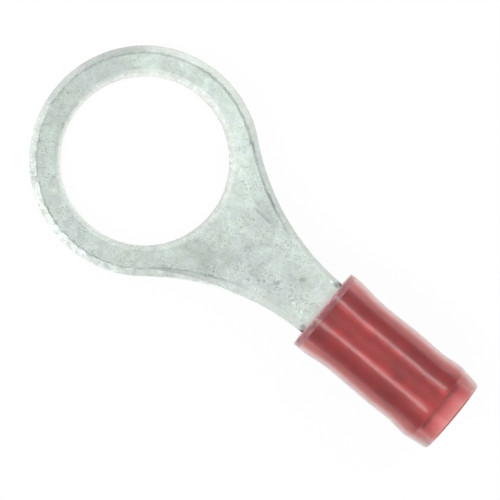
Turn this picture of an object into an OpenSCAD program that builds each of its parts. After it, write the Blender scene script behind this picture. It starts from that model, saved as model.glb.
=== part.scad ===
// Pre-insulated ring terminal. One stamping of tin-plated copper sheet makes the ring tongue, the
// neck and the rolled wire barrel. A thin metal grip sleeve is pressed over the barrel and runs on
// past it to hold the wire's insulation, and a waisted sleeve of clear nylon covers both.
//
// Frame: the origin is the centre of the stud hole, on the flat back face of the tongue. +Z points
// out of that face and +X runs to the wire end. The barrel lies on the other side of the tongue, so
// its axis is below the back face. All sizes are in millimetres.

/* [Ring tongue] */
// Diameter of the stud hole
stud_hole_d = 9.9; // [8.4:0.1:10.8]
// Outer diameter of the ring
ring_d = 13.5; // [12.6:0.1:15]
// Thickness of the sheet that the terminal is stamped from
sheet_t = 0.8; // [0.6:0.05:0.9]
// Width of the edge that the punch rolls over round the stud hole, on the back face
hole_edge_w = 0.35; // [0.2:0.05:0.4]
// Radius of that rolled edge
hole_edge_r = 0.45; // [0.45:0.05:0.7]
// Width of the coined bevel round the outline of the back face
coin_w = 0.44; // [0.3:0.02:0.5]
// Depth of the coined bevel at the outline
coin_depth = 0.1; // [0.04:0.02:0.2]
// Angle of the neck's sweep over which the coined bevel dies out
coin_fade = 21; // [12:1:30]

/* [Neck] */
// Width of the neck where it enters the sleeve
neck_w = 3.68; // [3.3:0.02:4]
// Radius of the sweep from the ring into each side of the neck
neck_sweep_r = 14.43; // [10:0.01:15]
// Length of neck over which its edges curl down to the roundness of the barrel
curl_l = 1.1; // [0.9:0.05:1.6]

/* [Wire barrel] */
// Bore of the wire barrel, for conductors of 0.5 to 1.5 square millimetres
barrel_bore_d = 1.75; // [1.5:0.05:2]
// Length of the wire barrel
barrel_l = 5.05; // [4.4:0.05:5.6]
// How far the tongue's back face lies inside the round of the barrel
tongue_sink = 0.35; // [0.2:0.05:0.5]
// How far the barrel's open front stands behind the front of the grip sleeve
wing_setback = 0.2; // [0.1:0.05:0.5]
// Radius between the barrel's front edge and the underside of the neck
wing_fillet_r = 0.75; // [0.4:0.05:0.9]
// Length of the cone that scoops the bore out of the neck's underside
scoop_l = 1.4; // [1:0.05:1.8]
// Number of serrations inside the barrel
serrations = 3; // [1:1:4]
// Width of each serration along the barrel
serration_w = 0.3; // [0.2:0.05:0.4]
// Depth of each serration
serration_depth = 0.12; // [0.06:0.02:0.2]
// Depth of the groove along the barrel's butt seam
seam_depth = 0.12; // [0.06:0.02:0.2]
// Chamfer round the wire's way into the barrel
entry_chamfer = 0.3; // [0.1:0.05:0.4]

/* [Support sleeve] */
// Length of the support sleeve
support_l = 8.3; // [7.8:0.05:8.6]
// Wall of the support sleeve
support_wall = 0.3; // [0.2:0.02:0.4]
// Length of the throat rolled into the support sleeve behind the barrel, which guides the strands
throat_l = 1.2; // [0.8:0.05:1.3]
// Depth of the throat
throat_depth = 0.06; // [0.02:0.01:0.12]
// Length of the flare at the wire end of the support sleeve
flare_l = 0.8; // [0.5:0.05:0.9]
// How far the flare opens, measured on the radius
flare_rise = 0.12; // [0.04:0.02:0.2]

/* [Nylon sleeve] */
// Distance from the centre of the stud hole to the front of the nylon sleeve
sleeve_x = 13.52; // [13.2:0.02:15]
// Length of the nylon sleeve
sleeve_l = 9.96; // [9.6:0.02:11]
// How far the nylon stands in front of the support sleeve
lip_l = 0.43; // [0.3:0.01:0.6]
// Wall of the nylon at the waist
sleeve_wall = 0.48; // [0.35:0.01:0.6]
// Wall of the nylon at its front rim
rim_wall = 0.35; // [0.25:0.01:0.45]
// Length of the straight front rim
rim_l = 0.65; // [0.4:0.05:0.8]
// Length of the shoulder from the rim down to the waist
shoulder_l = 1.95; // [1.2:0.05:2.2]
// Swell of the nylon over the end of the barrel, measured on the radius
swell = 0.04; // [0.02:0.01:0.08]
// Rise of the bell over the waist, measured on the radius
bell_rise = 0.12; // [0.04:0.01:0.25]
// Length over which the nylon rises from the waist to the bell
bell_l = 1.5; // [1.1:0.05:1.9]
// Length of the taper from the bell to the wire end
bell_taper_l = 1.45; // [1.1:0.05:1.7]
// Fall of that taper, measured on the radius
bell_taper = 0.2; // [0.1:0.01:0.3]
// Wall of the nylon at its wire mouth
mouth_wall = 0.42; // [0.35:0.01:0.55]
// Rounding of the nylon's front edge
edge_r = 0.12; // [0.05:0.01:0.16]
// Rounding of the nylon's wire end
end_edge_r = 0.18; // [0.1:0.01:0.25]

/* [Fits] */
// Length of the ramped lead-in at the front of the barrel, under the support sleeve
lead_in = 0.1; // [0.05:0.01:0.2]
// Radial clearance of the pressed sleeves, barrel to support sleeve and support sleeve to nylon
press_gap = 0.02; // [0.01:0.01:0.05]
// Clearance between the curled corners of the neck and the nylon's front rim
neck_gap = 0.22; // [0.1:0.02:0.3]

/* [Hidden] */
$fn = 96;

// Clear reach of a cutting shape past the faces that it opens
over = 1;
// Angle by which the coined bevel on each sweep starts inside the ring's, so that they run together
coin_lap = 0.4;

// Ring and neck. Each sweep is tangent to the ring and to the neck's straight side
ring_r = ring_d / 2;
sweep_y = neck_w / 2 + neck_sweep_r;
sweep_x = sqrt(pow(ring_r + neck_sweep_r, 2) - sweep_y * sweep_y);
sweep_dir = atan2(sweep_y, sweep_x);

// Barrel and grip
barrel_bore_r = barrel_bore_d / 2;
barrel_r = barrel_bore_r + sheet_t;
axis_z = tongue_sink - barrel_r;
support_x = sleeve_x + lip_l;
barrel_end = support_x + barrel_l;
support_end = support_x + support_l;
support_bore_r = barrel_r + press_gap;
throat_x = barrel_end + throat_l / 2;

// The neck's upper corners curl in to the barrel along one arc, turned about the barrel's axis
curl_x = support_x - curl_l;
corner_r = norm([neck_half_w(curl_x), axis_z]);
curl_fall = corner_r - barrel_r;
curl_arc_r = (curl_l * curl_l + curl_fall * curl_fall) / (2 * curl_fall);

// Nylon sleeve
nylon_bore_r = support_bore_r + support_wall + press_gap;
waist_r = nylon_bore_r + sleeve_wall;
rim_bore_r = curl_reach(sleeve_x) + neck_gap;
rim_r = rim_bore_r + rim_wall;
sleeve_end = sleeve_x + sleeve_l;
bell_x = sleeve_end - bell_taper_l;
bell_r = waist_r + bell_rise;
end_r = bell_r - bell_taper;

// Half the width of the tongue's outline at x, along the sweep and the straight neck
function neck_half_w(x) =
    x < sweep_x ? sweep_y - sqrt(neck_sweep_r * neck_sweep_r - pow(sweep_x - x, 2)) : neck_w / 2;

// Reach of the curled neck from the barrel's axis at x
function curl_reach(x) = corner_r - curl_arc_r + sqrt(pow(curl_arc_r, 2) - pow(x - curl_x, 2));

// Smooth rise from [r0, x0] to [r1, x1] that starts and ends level with the axis
function ease(r0, x0, r1, x1, steps = 8) =
    [for (i = [0 : steps]) [r0 + (r1 - r0) * (1 - cos(180 * i / steps)) / 2, x0 + (x1 - x0) * i / steps]];

// Arc round the point [r, x], from angle a0 to a1, with 0 degrees pointing away from the axis
function arc(r, x, radius, a0, a1, steps = 6) =
    [for (i = [0 : steps]) let (a = a0 + (a1 - a0) * i / steps) [r + radius * cos(a), x + radius * sin(a)]];

// Flare at the wire end of the support sleeve's bore, as points [radius, x]
function flare() = ease(support_bore_r, support_end - flare_l, support_bore_r + flare_rise, support_end);

// Bore of the support sleeve as points [radius, x], from its front to its wire end
function support_bore() = concat(
    [[support_bore_r, support_x]],
    ease(support_bore_r, barrel_end, support_bore_r - throat_depth, throat_x, 6),
    ease(support_bore_r - throat_depth, throat_x, support_bore_r, barrel_end + throat_l, 6),
    flare()
);

// The same points moved away from the axis
function moved_out(points, by) = [for (p = points) [p[0] + by, p[1]]];
function reversed(points) = [for (i = [len(points) - 1 : -1 : 0]) points[i]];

// Stands an upright shape on the barrel's axis, with its foot at x = 0 and its top towards the wire
module along_barrel() {
    translate([0, 0, axis_z])
        rotate([90, 0, 0])
            rotate([0, 90, 0])
                children();
}

// Turns a profile of [radius, x] about the barrel's axis
module about_barrel() {
    along_barrel()
        rotate_extrude()
            children();
}

// Straight round of radius r about the barrel's axis, from x0 to x1
module round_bar(r, x0, x1) {
    along_barrel()
        translate([0, 0, x0])
            cylinder(r = r, h = x1 - x0);
}

// --- Terminal ---

// Neck between the two sweeps, from inside the ring to the strip that goes on into the barrel
module neck_outline() {
    strip_end = support_x + barrel_l / 2;
    difference() {
        polygon([
            [0, 0], [sweep_x, sweep_y], [sweep_x, neck_w / 2], [strip_end, neck_w / 2],
            [strip_end, -neck_w / 2], [sweep_x, -neck_w / 2], [sweep_x, -sweep_y]
        ]);
        for (side = [-1, 1])
            translate([sweep_x, side * sweep_y])
                circle(r = neck_sweep_r);
    }
}

// Flat stamping before it is coined and pierced
module tongue_blank() {
    translate([0, 0, -sheet_t]) {
        cylinder(d = ring_d, h = sheet_t);
        linear_extrude(sheet_t)
            neck_outline();
    }
}

// Space round the barrel's axis that the sheet keeps to as it rolls up: the curl of the neck's
// corners, then the barrel. A negative grow gives the inside of the sheet
module roll_space(grow = 0, end = barrel_end) {
    arc_centre = corner_r + grow - curl_arc_r;
    about_barrel()
        intersection() {
            union() {
                translate([arc_centre, curl_x])
                    circle(r = curl_arc_r);
                translate([arc_centre - corner_r - over, curl_x])
                    square([corner_r + over, curl_l + lead_in]);
                translate([0, support_x - lead_in])
                    square([barrel_r + grow, barrel_l + lead_in]);
            }
            translate([0, curl_x])
                square([corner_r + over, end - curl_x]);
        }
}

// Oversize barrel and neck corners that the roll space trims to size. A ramp straight across lifts
// them out of the back face from the nylon's front on, and leaves a lead-in for the support sleeve
module barrel_blank() {
    run = (lip_l + lead_in) / tongue_sink;
    mid_z = -sheet_t / 2;
    top = tongue_sink + over;
    foot = axis_z - barrel_r - over;
    half_w = barrel_r + over;
    intersection() {
        rotate([90, 0, 0])
            translate([0, 0, -half_w])
                linear_extrude(2 * half_w)
                    polygon([
                        [curl_x, mid_z], [sleeve_x + run * mid_z, mid_z], [sleeve_x + run * top, top],
                        [barrel_end + over, top], [barrel_end + over, foot], [curl_x, foot]
                    ]);
        translate([0, 0, foot - over])
            linear_extrude(top - foot + 2 * over)
                union() {
                    translate([curl_x - over, -neck_w / 2])
                        square([barrel_end + 3 * over - curl_x, neck_w]);
                    translate([support_x, -half_w - over])
                        square([barrel_l + 2 * over, 2 * (half_w + over)]);
                }
    }
}

// Everything below the neck in front of the barrel's rounded wings
module below_neck() {
    wing_x = support_x + wing_setback;
    depth = 2 * barrel_r + over;
    rotate([90, 0, 0])
        translate([0, 0, -depth])
            linear_extrude(2 * depth) {
                translate([curl_x - over, -sheet_t - depth])
                    square([wing_x - wing_fillet_r - curl_x + over, depth]);
                translate([curl_x - over, -sheet_t - depth])
                    square([wing_x - curl_x + over, depth - wing_fillet_r]);
                translate([wing_x - wing_fillet_r, -sheet_t - wing_fillet_r])
                    circle(r = wing_fillet_r);
            }
}

// Coined bevel on a round outline of radius r. The metal is inside the outline where side is -1,
// as on the ring, and outside it where side is 1, as on the neck's sweeps
module coin_ring(r, side, start, angle) {
    slope = coin_depth / coin_w;
    rotate_extrude(start = start, angle = angle)
        polygon([
            [r - side * over, -coin_depth - slope * over],
            [r + side * (coin_w + over), slope * over],
            [r - side * over, slope * over]
        ]);
}

// Coined bevel all round the ring and dying out along both sweeps of the neck
module coin_cut() {
    coin_ring(ring_r, -1, sweep_dir, 360 - 2 * sweep_dir);
    chord = 2 * neck_sweep_r * sin(coin_fade / 2);
    chord_dir = sweep_dir - 90 + coin_fade / 2;
    join = [cos(sweep_dir), sin(sweep_dir)] * ring_r;
    for (side = [0, 1])
        mirror([0, side, 0])
            translate(join)
                rotate(a = asin(coin_depth / chord), v = [sin(chord_dir), -cos(chord_dir), 0])
                    translate([sweep_x, sweep_y] - join)
                        coin_ring(neck_sweep_r, 1, sweep_dir + 180 - coin_lap, coin_fade + coin_lap);
}

// Stud hole with the rolled edge that the punch leaves on the back face
module stud_hole() {
    hole_r = stud_hole_d / 2;
    drop = hole_edge_r - sqrt(pow(hole_edge_r, 2) - pow(hole_edge_w, 2));
    translate([0, 0, -sheet_t - over])
        cylinder(r = hole_r, h = sheet_t + 2 * over);
    rotate_extrude()
        difference() {
            translate([0, -drop])
                square([hole_r + hole_edge_w, drop + over]);
            translate([hole_r + hole_edge_w, -hole_edge_r])
                circle(r = hole_edge_r);
        }
}

// Inside of the roll: scoop into the neck's underside, bore, chamfered entry, flared front under the
// neck, and serrations
module barrel_bore() {
    about_barrel()
        polygon([
            [0, support_x - lead_in - scoop_l], [barrel_bore_r, support_x - lead_in],
            [barrel_bore_r, barrel_end - entry_chamfer],
            [barrel_bore_r + entry_chamfer + over, barrel_end + over], [0, barrel_end + over]
        ]);
    intersection() {
        roll_space(-sheet_t, support_x + lead_in);
        translate([curl_x, -barrel_r, axis_z - barrel_r])
            cube([curl_l + over, 2 * barrel_r, barrel_r - axis_z - sheet_t]);
    }
    pitch = (barrel_l - entry_chamfer) / (serrations + 1);
    for (i = [1 : serrations])
        round_bar(
            barrel_bore_r + serration_depth,
            support_x + i * pitch - serration_w / 2,
            support_x + i * pitch + serration_w / 2
        );
}

// Groove where the two edges of the rolled sheet meet, on the side away from the tongue
module seam() {
    translate([support_x - over, 0, axis_z - barrel_r])
        rotate([45, 0, 0])
            translate([0, -seam_depth / sqrt(2), -seam_depth / sqrt(2)])
                cube([barrel_l + 2 * over, sqrt(2) * seam_depth, sqrt(2) * seam_depth]);
}

module terminal() {
    color([0.80, 0.84, 0.81])
        difference() {
            intersection() {
                union() {
                    tongue_blank();
                    barrel_blank();
                }
                union() {
                    roll_space();
                    translate([-ring_r - over, -ring_r - over, -sheet_t - over])
                        cube([ring_r + over + curl_x, 2 * (ring_r + over), sheet_t + 2 * over]);
                }
            }
            below_neck();
            barrel_bore();
            seam();
            coin_cut();
            stud_hole();
        }
}

// --- Support sleeve ---

module support_sleeve() {
    color([0.72, 0.66, 0.48])
        about_barrel()
            polygon(concat(
                support_bore(),
                reversed(moved_out(support_bore(), support_wall))
            ));
}

// --- Insulator ---

// Outside of the nylon as points [radius, x], from the front rim to the wire end
function nylon_outside() = concat(
    arc(rim_r - edge_r, sleeve_x + edge_r, edge_r, -90, 0),
    ease(rim_r, sleeve_x + rim_l, waist_r, sleeve_x + rim_l + shoulder_l),
    ease(waist_r, sleeve_x + rim_l + shoulder_l, waist_r + swell, barrel_end),
    ease(waist_r + swell, barrel_end, waist_r, bell_x - bell_l),
    ease(waist_r, bell_x - bell_l, bell_r, bell_x),
    arc(end_r - end_edge_r, sleeve_end - end_edge_r, end_edge_r, 0, 90)
);

// Inside of the nylon as points [radius, x], from the front rim to the wire end
function nylon_inside() = concat(
    [[rim_bore_r + edge_r / 2, sleeve_x], [rim_bore_r, sleeve_x + edge_r / 2]],
    [[nylon_bore_r, support_x]],
    moved_out(flare(), support_wall + press_gap),
    [
        [nylon_bore_r + flare_rise, support_end + press_gap],
        [support_bore_r + flare_rise, support_end + press_gap],
        [end_r - mouth_wall, sleeve_end - edge_r],
        [end_r - mouth_wall + edge_r, sleeve_end]
    ]
);

module insulator() {
    color([0.72, 0.16, 0.20, 0.75])
        about_barrel()
            polygon(concat(nylon_inside(), reversed(nylon_outside())));
}

terminal();
support_sleeve();
insulator();
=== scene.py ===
import math

import bpy
from mathutils import Matrix, Vector


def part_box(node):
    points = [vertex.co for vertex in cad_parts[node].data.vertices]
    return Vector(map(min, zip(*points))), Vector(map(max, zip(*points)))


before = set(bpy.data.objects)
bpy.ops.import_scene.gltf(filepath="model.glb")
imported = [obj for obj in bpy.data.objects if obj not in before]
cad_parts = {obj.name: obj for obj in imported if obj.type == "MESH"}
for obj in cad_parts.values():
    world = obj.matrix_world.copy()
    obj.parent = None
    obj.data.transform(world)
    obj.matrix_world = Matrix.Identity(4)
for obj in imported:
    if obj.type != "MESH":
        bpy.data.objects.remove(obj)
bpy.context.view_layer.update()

MM = 0.001

# Where the CAD put things, in metres
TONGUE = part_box("terminal")
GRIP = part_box("support_sleeve")
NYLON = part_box("insulator")
RING_R = TONGUE[1].y
AXIS_Z = (NYLON[0].z + NYLON[1].z) / 2

# The sheet, the hole, and the sweeps from the ring into the neck, as the part's source has them
SHEET_T = 0.8 * MM
HOLE_R = 4.95 * MM
SWEEP_R = 14.43 * MM
NECK_W = 3.68 * MM
SWEEP_Y = NECK_W / 2 + SWEEP_R
SWEEP_X = math.sqrt((RING_R + SWEEP_R) ** 2 - SWEEP_Y**2)

# The width of the coined band inside the outline, and how far the die sat to the +Y side
COINED_W = 0.36 * MM
DIE_OFFSET = 0.1 * MM
# The outline is taken for the ring's up to this x, and for the sweeps' past it
SWEEP_START = 0.61 * RING_R


# --- Colours and materials ---

TIN_GREEN = "#C9D5CC"
TIN_BLUE = "#CAD4D1"
TIN_RUBBED = "#D1D3D0"
TIN_RED_LIT = "#D6B9C0"
TIN_SHEARED = "#C8BBB2"
COPPER = "#C07472"
NYLON_RED = "#E79296"
NYLON_DEEP = "#B84840"
NYLON_LIP_GLOW = "#FFAFBE"
NYLON_THIN_AND_SHEEN = "#FFF6EC"


def srgb(hex_colour):
    """Linear RGBA of an sRGB hex colour."""
    channels = [int(hex_colour[i : i + 2], 16) / 255 for i in (1, 3, 5)]
    linear = [c / 12.92 if c <= 0.04045 else ((c + 0.055) / 1.055) ** 2.4 for c in channels]
    return (*linear, 1.0)


def new_material(name):
    """An empty node material, its node tree and its output node."""
    material = bpy.data.materials.new(name)
    material.use_nodes = True
    tree = material.node_tree
    tree.nodes.clear()
    out = tree.nodes.new("ShaderNodeOutputMaterial")
    return material, tree, out


def add(tree, kind, settings=None, **inputs):
    """Adds a node. settings are its own properties. inputs are socket values, or sockets to link from.

    Each input is named for its socket, or _ and the socket's number.
    """
    node = tree.nodes.new(kind)
    for key, value in (settings or {}).items():
        setattr(node, key, value)
    for key, value in inputs.items():
        socket = node.inputs[int(key[1:])] if key[1:].isdigit() else node.inputs[key.replace("_", " ")]
        if isinstance(value, bpy.types.NodeSocket):
            tree.links.new(value, socket)
        else:
            socket.default_value = value
    return node


def wear(obj, material):
    obj.data.materials.clear()
    obj.data.materials.append(material)


def millimetres(tree, start=(0, 0, 0), turn=0, stretch=(1, 1, 1)):
    """Place on the piece in mm from start, turned about Z by turn degrees, then stretched."""
    place = add(tree, "ShaderNodeTexCoord")
    shifted = add(
        tree,
        "ShaderNodeVectorMath",
        {"operation": "MULTIPLY_ADD"},
        _0=place.outputs["Object"],
        _1=(1 / MM, 1 / MM, 1 / MM),
        _2=[-v for v in start],
    )
    turned = add(tree, "ShaderNodeMapping", Vector=shifted.outputs[0], Rotation=(0, 0, -math.radians(turn)))
    scaled = add(tree, "ShaderNodeMapping", Vector=turned.outputs[0], Scale=[1 / v for v in stretch])
    return scaled.outputs[0]


def patches(tree, place, size, low, high, octaves=0.0, span=(0.3, 0.7), seed=0):
    """Soft random patches about size mm across, from low to high. span is the part of the noise used."""
    noise = add(
        tree,
        "ShaderNodeTexNoise",
        {"noise_dimensions": "4D"},
        Vector=place,
        W=seed,
        Scale=1 / size,
        Detail=octaves,
        Roughness=0.75,
    )
    return between(tree, noise.outputs[0], span, (low, high))


def between(tree, value, edges, ends):
    """A smooth step that takes ends[0] where value is edges[0], and ends[1] where it is edges[1]."""
    step = add(
        tree,
        "ShaderNodeMapRange",
        {"interpolation_type": "SMOOTHSTEP"},
        Value=value,
        From_Min=edges[0],
        From_Max=edges[1],
        To_Min=ends[0],
        To_Max=ends[1],
    )
    return step.outputs[0]


def combined(tree, operation, first, *others):
    """first, joined with each of the others in turn by a maths operation."""
    for other in others:
        first = add(tree, "ShaderNodeMath", {"operation": operation}, _0=first, _1=other).outputs[0]
    return first


def away(tree, place):
    """Distance from the place's own zero."""
    return add(tree, "ShaderNodeVectorMath", {"operation": "LENGTH"}, _0=place).outputs["Value"]


def tinted(tree, hex_colour, layers):
    """A colour with each layer's own colour laid over it in turn, by the layer's factor."""
    tint = srgb(hex_colour)
    for factor, over in layers:
        mix = add(tree, "ShaderNodeMix", {"data_type": "RGBA"}, Factor=factor, _6=tint, _7=srgb(over))
        tint = mix.outputs[2]
    return tint


def blot(tree, x, y, long, wide, turn, depth):
    """A soft oval mark on the top face: a factor of 1 - depth in its middle and 1 outside it."""
    place = millimetres(tree, (x, y, 0), turn, (long, wide, MARK_DEPTH))
    return between(tree, away(tree, place), (0.25, 1), (1 - depth, 1))


# A stretch that leaves only the distance from the axis of the hole
FLATTENED = (1, 1, 1000)
# How far a mark reaches down from the top face, in mm
MARK_DEPTH = 4

# Marks on the tongue's top face: x, y, length and width in mm, turn in degrees, depth of tone.
# A negative depth is a bright mark. The small bright marks are painted glints, and the two dark spots at the
# neck's front corners are painted shade
TONGUE_MARKS = [
    (7.35, 1.95, 0.9, 0.13, -3, 0.24),
    (7.5, 2.3, 1.3, 0.8, -15, 0.12),
    (6.7, 2.3, 0.3, 0.2, 0, 0.14),
    (9.0, 2.1, 0.9, 0.25, -33, 0.12),
    (7.1, 0.3, 0.5, 0.09, 30, 0.14),
    (6.9, -0.5, 0.2, 0.13, 0, 0.16),
    (9.1, -1.45, 0.18, 0.13, 0, 0.22),
    (9.6, -1.1, 0.15, 0.13, 0, 0.22),
    (9.85, -0.95, 0.15, 0.13, 0, 0.22),
    (6.2, -2.3, 1.8, 0.8, 10, 0.06),
    (7.0, 1.2, 1.5, 0.7, 0, 0.13),
    (7.7, 0.1, 0.9, 0.6, 0, 0.09),
    (11.3, 0.4, 2.2, 1.0, -15, 0.08),
    (10.0, 1.05, 0.35, 0.13, 70, 0.14),
    (8.5, 0.75, 0.5, 0.1, 20, 0.14),
    (12.4, -1.2, 0.9, 0.5, 0, -0.06),
    (5.0, -4.0, 0.6, 0.25, 30, 0.14),
    (7.2, -1.3, 1.6, 1.0, 15, 0.1),
    (11.55, 0.55, 0.35, 0.22, 50, 0.24),
    (10.5, -0.55, 0.45, 0.22, 60, 0.22),
    (9.1, -0.3, 0.3, 0.12, 80, 0.2),
    (9.2, -1.05, 0.5, 0.2, 10, 0.18),
    (2.8, -4.75, 0.2, 0.15, 0, 0.18),
    (-3.5, -4.1, 0.2, 0.12, 20, 0.18),
    (12.0, -0.82, 0.13, 0.11, 0, -0.3),
    (11.85, -0.72, 0.16, 0.08, 60, 0.25),
    (12.7, -0.95, 0.12, 0.1, 0, -0.25),
    (-1.9, 5.7, 0.14, 0.12, 0, -0.25),
    (12.9, 1.55, 0.16, 0.12, 0, -0.3),
    # Painted shade at the neck's front corners, by the sleeve, where the strip's edges curl
    (13.3, 1.6, 0.3, 0.24, 0, 0.45),
    (13.35, -1.55, 0.3, 0.24, 0, 0.45),
]


def outline_inset(tree, x, radius):
    """Distance in mm inside the outline of the ring or, past SWEEP_START, of the sweeps.

    The coining die sat a little to one side, so its line runs nearer the edge on the +Y sweep.
    """
    die_place = millimetres(tree, (0, DIE_OFFSET / MM, 0))
    across = add(tree, "ShaderNodeSeparateXYZ", Vector=die_place).outputs["Y"]
    across = add(tree, "ShaderNodeMath", {"operation": "ABSOLUTE"}, _0=across).outputs[0]
    to_sweep = add(
        tree,
        "ShaderNodeVectorMath",
        {"operation": "DISTANCE"},
        _0=add(tree, "ShaderNodeCombineXYZ", X=x, Y=across).outputs[0],
        _1=(SWEEP_X / MM, SWEEP_Y / MM, 0),
    ).outputs["Value"]
    inset = add(
        tree,
        "ShaderNodeMix",
        Factor=combined(tree, "GREATER_THAN", x, SWEEP_START / MM),
        A=combined(tree, "SUBTRACT", RING_R / MM, radius),
        B=combined(tree, "SUBTRACT", to_sweep, SWEEP_R / MM),
    )
    return inset.outputs[0]


def tin_plated_copper():
    """Matte electroplated tin over copper.

    Pale grey-green with a satin, slightly mottled skin that keeps the strip's pits and scratches. The
    punch has rolled and burnished the hole's edge, and painted shade sits in the crease inside the
    coined rim. Light and shade are also painted into the tone, the coined band and the hole's edge,
    with painted glints and sparkles, and a red tint inside the sleeve stands for the light through the
    nylon.
    """
    material, tree, out = new_material("tin_matte_electroplated_on_copper")
    place = millimetres(tree)
    x, y, height = add(tree, "ShaderNodeSeparateXYZ", Vector=place).outputs
    radius = away(tree, millimetres(tree, stretch=FLATTENED))
    hole = HOLE_R / MM
    sleeve = NYLON[0].x / MM

    # Painted light and shade: the tin is lighter on the +Y side of the ring and darker on the far side from
    # the wire, in soft random patches
    lit = add(tree, "ShaderNodeVectorMath", {"operation": "DOT_PRODUCT"}, _0=place, _1=(0.45, 0.89, 0))
    lit = lit.outputs["Value"]
    cloud = patches(tree, place, 2.4, -1.6, 1.6, seed=3)
    painted_light_tone = between(tree, combined(tree, "ADD", lit, cloud), (-1, 6.5), (0.865, 1.075))

    # Grain of the plating, from 1 mm blotches down to grains of 0.1 mm
    blotch = patches(tree, place, 0.9, 0.9, 1.1, 2, span=(0.2, 0.8), seed=5)
    grain = patches(tree, place, 0.34, 0.93, 1.07, 1, span=(0.2, 0.8), seed=8)
    grit = patches(tree, place, 0.1, 0.95, 1.05, span=(0.2, 0.8), seed=11)

    # Small pits in clusters, thick on the neck and thin on the ring
    crowd = between(tree, x, (4, 7.5), (0.0, 0.03))
    cluster = patches(tree, place, 1.1, -0.1, 0.1, seed=20)
    spots = patches(tree, place, 0.13, 0, 1, 1, span=(0, 1), seed=21)
    pits = between(tree, combined(tree, "ADD", spots, crowd, cluster), (0.66, 0.84), (1, 0.76))
    # Painted glints: small spots of lighter colour that stand for highlights
    glints = patches(tree, place, 0.15, 1, 1.15, span=(0.72, 0.82), seed=34)

    # Short scratches, in two directions
    scratches = []
    for seed, turn in enumerate((48, 8)):
        along = millimetres(tree, turn=turn, stretch=(0.7, 0.09, 1))
        scratches.append(patches(tree, along, 1, 1, 0.88, span=(0.64, 0.78), seed=seed))

    inset = outline_inset(tree, x, radius)
    coined = COINED_W / MM
    ragged = combined(tree, "ADD", inset, patches(tree, place, 0.4, -0.025, 0.025, seed=40))
    upper_face = between(tree, height, (-0.14, -0.11), (0, 1))

    # Painted shade in the crease inside the coined band: broken, wider on the +Y side, and fading towards the
    # sleeve and the far side
    crease_widening = between(tree, lit, (0, 5), (0, 0.05))
    crease_shade = combined(
        tree,
        "MULTIPLY",
        between(tree, ragged, (coined - 0.03, coined + 0.05), (0, 1)),
        between(tree, combined(tree, "SUBTRACT", ragged, crease_widening), (coined + 0.06, coined + 0.17), (1, 0)),
        upper_face,
        between(tree, x, (7.5, 9.5), (1, 0)),
        between(tree, x, (-6.3, -4), (0.35, 1)),
        patches(tree, place, 1.1, 0.6, 1, seed=44),
    )
    # The painted shade is deepest on the ring's -X -Y side, and on the neck's +Y side deeper than on the
    # other
    diagonal = add(tree, "ShaderNodeVectorMath", {"operation": "DOT_PRODUCT"}, _0=place, _1=(0.7, 0.7, 0))
    depth = between(tree, diagonal.outputs["Value"], (-6, -2), (0.55, 0.38))
    along_neck = combined(
        tree,
        "MULTIPLY",
        between(tree, x, (2, 5), (0, 1)),
        between(tree, y, (-1, 1), (-0.12, 0.12)),
    )
    depth = combined(tree, "ADD", depth, along_neck)
    crease_shade = combined(tree, "SUBTRACT", 1, combined(tree, "MULTIPLY", crease_shade, depth))

    # The coined band outside it is painted with light and shade: brighter away from the wire, on the neck
    # (most on its -Y side) and towards the ring's +Y side, and a little darker elsewhere
    rim = combined(tree, "MULTIPLY", between(tree, inset, (coined - 0.06, coined), (1, 0)), upper_face)
    painted_band = combined(
        tree,
        "MULTIPLY",
        rim,
        combined(
            tree,
            "ADD",
            between(tree, x, (-6.6, -4.5), (0.17, -0.18)),
            combined(
                tree,
                "MULTIPLY",
                between(tree, x, (5, 8), (0, 1)),
                between(tree, y, (-3, 3), (0.27, 0.07)),
            ),
            between(tree, y, (2.5, 6), (0, 0.13)),
        ),
    )
    painted_band = combined(tree, "ADD", painted_band, 1)

    # The rolled edge of the hole, and painted sparkles: bright grains, standing for glints, where it and the
    # rim were rubbed
    edge = combined(tree, "ADD", radius, between(tree, lit, (-6, 4), (0.15, 0)))
    roll = between(tree, edge, (hole + 0.18, hole + 0.5), (0.9, 0))
    rubbed = combined(tree, "MAXIMUM", roll, combined(tree, "MULTIPLY", rim, 0.45))
    painted_sparkle = patches(tree, place, 0.12, 0, 0.3, span=(0.68, 0.78), seed=37)
    painted_sparkle = combined(tree, "ADD", combined(tree, "MULTIPLY", painted_sparkle, rubbed), 1)

    # The ring was pressed flat and smooth, so it shows less of all this than the neck
    fine = combined(tree, "MULTIPLY", grain, grit, glints)
    skin = combined(tree, "MULTIPLY", fine, blotch, pits, *scratches)
    rough_skin = combined(
        tree,
        "MINIMUM",
        between(tree, rim, (0, 1), (2, 0.6)),
        between(tree, x, (3.5, 6.5), (1.0, 1.8)),
        between(tree, x, (sleeve - 0.22, sleeve - 0.02), (1, 0.2)),
    )
    skin = combined(tree, "MULTIPLY", combined(tree, "SUBTRACT", skin, 1), rough_skin)
    skin = combined(tree, "ADD", skin, 1)
    # The ring's far side is painted a little darker as shade, and the strip past the ring is a little darker
    far = between(tree, x, (-6, -3.5), (0.93, 1))
    neck = between(tree, x, (4.5, 6.8), (1, 0.92))
    # Where the tin runs into the sleeve, a painted red tint stands for light through the nylon
    red_light_under_sleeve = between(tree, x, (sleeve - 0.07, sleeve + 0.08), (0, 1))
    marks = [blot(tree, *mark) for mark in TONGUE_MARKS]
    shade = combined(tree, "MULTIPLY", painted_light_tone, far, neck, skin, crease_shade, painted_band, *marks)
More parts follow.
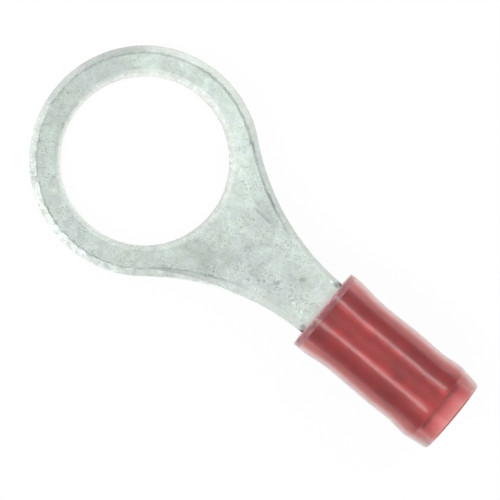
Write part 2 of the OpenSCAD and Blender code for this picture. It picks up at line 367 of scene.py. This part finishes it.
    # The rolled edge takes a steady bright shade in place of the tone and marks: partly its burnish, and
    # partly a painted highlight that is brightest at the very edge on the -X side
    edge_highlight = combined(
        tree,
        "MULTIPLY",
        between(tree, radius, (hole + 0.02, hole + 0.25), (0.22, 0)),
        between(tree, x, (-3, 2), (1, 0)),
    )
    rolled_burnish_and_highlight = combined(
        tree,
        "MULTIPLY",
        fine,
        between(tree, x, (0, 3), (1.28, 1.2)),
        combined(tree, "ADD", edge_highlight, 1),
    )
    shade = add(tree, "ShaderNodeMix", Factor=roll, A=shade, B=rolled_burnish_and_highlight).outputs[0]
    shade = combined(tree, "MINIMUM", combined(tree, "MULTIPLY", shade, painted_sparkle), 1.5)

    # The press sheared the strip on the +Y side, and its copper shows through there in a thin line.
    # Inside the sleeve the tin is painted with a red tint, standing for the red light that comes through the
    # nylon
    sheared = combined(
        tree,
        "MULTIPLY",
        between(tree, inset, (0, 0.08), (0.8, 0)),
        between(tree, y, (1, 2), (0, 1)),
        patches(tree, place, 0.8, 0.3, 1, seed=70),
    )
    layers = [
        (patches(tree, place, 0.9, 0, 1, 1, seed=50), TIN_BLUE),
        (rubbed, TIN_RUBBED),
        (sheared, TIN_SHEARED),
        (red_light_under_sleeve, TIN_RED_LIT),
    ]
    tint = tinted(tree, TIN_GREEN, layers)
    colour = add(tree, "ShaderNodeVectorMath", {"operation": "SCALE"}, _0=tint, Scale=shade)
    bump = add(tree, "ShaderNodeBump", Height=skin, Distance=0.03 * MM)
    bsdf = add(
        tree,
        "ShaderNodeBsdfPrincipled",
        Base_Color=colour.outputs[0],
        Metallic=1.0,
        Roughness=combined(
            tree,
            "MAXIMUM",
            patches(tree, place, 0.6, 0.36, 0.48, 1, seed=60),
            between(tree, edge, (hole + 0.25, hole + 0.5), (0.75, 0.3)),
            between(tree, x, (sleeve - 0.12, sleeve + 0.08), (0.3, 0.8)),
        ),
        Normal=bump.outputs[0],
    )
    tree.links.new(bsdf.outputs[0], out.inputs["Surface"])
    return material


def copper_tube():
    """Drawn copper tube, tumbled and dulled: brownish pink and cloudy, with painted shade along it."""
    material, tree, out = new_material("copper_drawn_tube_dulled")
    place = millimetres(tree, (GRIP[0].x / MM, 0, 0))
    along = add(tree, "ShaderNodeSeparateXYZ", Vector=place).outputs["X"]
    along = combined(tree, "ADD", along, patches(tree, place, 1.5, -0.25, 0.25, 1, seed=2))
    # Painted shade: a dark front end, and a dark band where the barrel under it stops. The rear end is
    # painted a little brighter
    tube_length = (GRIP[1].x - GRIP[0].x) / MM
    front = between(tree, along, (0.0, 1.3), (0.78, 1))
    rear = between(tree, along, (tube_length - 0.9, tube_length), (1, 1.1))
    painted_band = combined(
        tree,
        "ADD",
        between(tree, along, (4.4, 5.3), (1, 0.84)),
        between(tree, along, (5.7, 7.0), (0, 0.16)),
    )
    cloud = patches(tree, place, 0.9, 0.93, 1.07, 1, seed=6)
    shade = combined(tree, "MULTIPLY", front, rear, painted_band, cloud)
    colour = add(tree, "ShaderNodeVectorMath", {"operation": "SCALE"}, _0=srgb(COPPER)[:3], Scale=shade)
    bsdf = add(
        tree,
        "ShaderNodeBsdfPrincipled",
        Base_Color=colour.outputs[0],
        Metallic=1.0,
        Roughness=patches(tree, place, 0.7, 0.5, 0.62, seed=7),
    )
    tree.links.new(bsdf.outputs[0], out.inputs["Surface"])
    return material


def red_nylon():
    """Clear red moulded nylon: a soft gloss outside, and slightly hazy in the wall."""
    material, tree, out = new_material("nylon_clear_red_injection_moulded")
    place = millimetres(tree)
    ripple = patches(tree, place, 1.4, 0, 1, span=(0, 1), seed=9)
    bump = add(tree, "ShaderNodeBump", Height=ripple, Distance=0.01 * MM)
    front, rear = NYLON[0].x / MM, NYLON[1].x / MM
    facing = add(tree, "ShaderNodeLayerWeight", Blend=0.5).outputs["Facing"]
    along = add(tree, "ShaderNodeSeparateXYZ", Vector=place).outputs["X"]
    thin = combined(
        tree,
        "ADD",
        between(tree, along, (rear - 1.08, rear - 0.08), (0, 0.33)),
        between(tree, along, (rear - 0.23, rear - 0.06), (0, 0.65)),
    )
    # Light that grazes the wall takes the most colour. At the very edge the colour is paler, partly for the
    # thin edge and partly as a painted reflection of the white surroundings. In front of the tube the lip is
    # painted paler pink as painted light, and towards the funnel's rim the wall thins and pales
    layers = [
        (between(tree, facing, (0.25, 0.42), (0, 1)), NYLON_DEEP),
        (between(tree, facing, (0.46, 0.71), (0, 1)), NYLON_THIN_AND_SHEEN),
        (between(tree, along, (front + 0.28, front + 0.48), (1, 0)), NYLON_LIP_GLOW),
        (thin, NYLON_THIN_AND_SHEEN),
    ]
    bsdf = add(
        tree,
        "ShaderNodeBsdfPrincipled",
        Base_Color=tinted(tree, NYLON_RED, layers),
        Roughness=0.26,
        IOR=1.4,
        Transmission_Weight=1.0,
        Coat_Weight=0.5,
        Coat_Roughness=0.12,
        Sheen_Weight=0.5,
        Sheen_Roughness=0.25,
        Normal=bump.outputs[0],
    )
    tree.links.new(bsdf.outputs[0], out.inputs["Surface"])
    return material


# Share of plain white in what the camera sees of the board. The rest is its own shading
BOARD_GLOW = 0.94


def white_floor():
    """Plain white board. The camera sees it nearly white all over, with the object's shadow on it."""
    material, tree, out = new_material("white_board")
    path = add(tree, "ShaderNodeLightPath")
    seen = combined(
        tree,
        "MAXIMUM",
        path.outputs["Is Camera Ray"],
        path.outputs["Is Glossy Ray"],
        path.outputs["Is Transmission Ray"],
    )
    share = combined(tree, "MULTIPLY", seen, BOARD_GLOW)
    board = add(tree, "ShaderNodeBsdfDiffuse", Color=srgb("#FFFFFF"))
    glow = add(tree, "ShaderNodeEmission", Color=(1, 1, 1, 1), Strength=1.0)
    mix = add(tree, "ShaderNodeMixShader", _0=share, _1=board.outputs[0], _2=glow.outputs[0])
    tree.links.new(mix.outputs[0], out.inputs["Surface"])
    return material


wear(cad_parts["terminal"], tin_plated_copper())
wear(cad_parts["support_sleeve"], copper_tube())
wear(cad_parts["insulator"], red_nylon())


# --- Floor ---

# The part rests on the far edge of the ring and on the lowest point of the nylon's front rim
FRONT_RIM = 0.12 * MM
FLOOR_SIZE = 1.2
ring_foot = Vector((TONGUE[0].x, 0, -SHEET_T))
rim_foot = Vector((NYLON[0].x + FRONT_RIM, 0, NYLON[0].z))
slope = math.atan2(ring_foot.z - rim_foot.z, rim_foot.x - ring_foot.x)

bpy.ops.object.select_all(action="DESELECT")
bpy.ops.mesh.primitive_plane_add(size=FLOOR_SIZE, location=ring_foot, rotation=(0, slope, 0))
floor = bpy.context.object
floor.name = "white_board"
wear(floor, white_floor())


# --- Light ---

world = bpy.data.worlds.new("studio")
bpy.context.scene.world = world
world.use_nodes = True
sky = world.node_tree
sky.nodes.clear()
# A bright ceiling that falls off towards the horizon. The camera sees white, and so does clear nylon
up = add(sky, "ShaderNodeSeparateXYZ", Vector=add(sky, "ShaderNodeTexCoord").outputs["Generated"])
path = add(sky, "ShaderNodeLightPath")
seen = combined(sky, "MAXIMUM", path.outputs["Is Camera Ray"], path.outputs["Is Transmission Ray"])
ceiling = between(sky, up.outputs["Z"], (0.0, 0.9), (0.4, 0.8))
ceiling = add(sky, "ShaderNodeMix", Factor=seen, A=ceiling, B=1.0).outputs[0]
background = add(sky, "ShaderNodeBackground", Color=(1, 1, 1, 1), Strength=ceiling)
sky.links.new(background.outputs[0], add(sky, "ShaderNodeOutputWorld").inputs["Surface"])

# Light crosses the thin clear wall many times before it gets out
BOUNCES = 48
bpy.context.scene.cycles.max_bounces = BOUNCES
bpy.context.scene.cycles.glossy_bounces = BOUNCES
bpy.context.scene.cycles.transmission_bounces = BOUNCES

LAMP_DISTANCE = 0.4


def lamp(name, towards, size, brightness):
    """A soft box that faces the barrel's middle. brightness is how white its face is, 1 being white."""
    light = bpy.data.lights.new(name, "AREA")
    light.shape = "RECTANGLE"
    light.size, light.size_y = size
    light.energy = brightness * math.pi * size[0] * size[1]
    obj = bpy.data.objects.new(name, light)
    bpy.context.scene.collection.objects.link(obj)
    middle = Vector(((NYLON[0].x + NYLON[1].x) / 2, 0, AXIS_Z))
    direction = Vector(towards).normalized()
    obj.location = middle + direction * LAMP_DISTANCE
    # The lamp's length stays as near to the barrel's line as it can
    across = direction.cross((1, 0, 0)).normalized()
    along = across.cross(direction)
    turn = Matrix((along, across, direction)).transposed()
    obj.rotation_euler = turn.to_euler()


def tilted(degrees, x=0.0):
    """A direction tilted from straight up towards +Y."""
    a = math.radians(degrees)
    return (x, math.sin(a), math.cos(a))


lamp("strip_right", tilted(45, -0.15), (0.39, 0.07), 4.7)
lamp("strip_left", tilted(-31, -0.15), (0.39, 0.07), 4.6)
lamp("overhead", tilted(5), (0.4, 0.14), 0.3)
lamp("far_left", (-0.75, -0.75, 1), (0.3, 0.3), 1.1)


# --- Camera ---

# Straight down on the tongue, with the wire end turned to the lower right
VIEW_WIDTH = 29.22 * MM
VIEW_X, VIEW_Y = 8.07 * MM, -0.065 * MM
VIEW_TURN = math.radians(39.78)

camera_data = bpy.data.cameras.new("camera")
camera_data.sensor_width = 36
camera_data.lens = 370
distance = VIEW_WIDTH * camera_data.lens / camera_data.sensor_width
camera_data.clip_start = 0.01
camera_data.clip_end = 10
camera = bpy.data.objects.new("camera", camera_data)
bpy.context.scene.collection.objects.link(camera)
camera.location = (VIEW_X, VIEW_Y, distance)
camera.rotation_euler = (0, 0, VIEW_TURN)
bpy.context.scene.camera = camera

bpy.context.scene.view_settings.view_transform = "Standard"
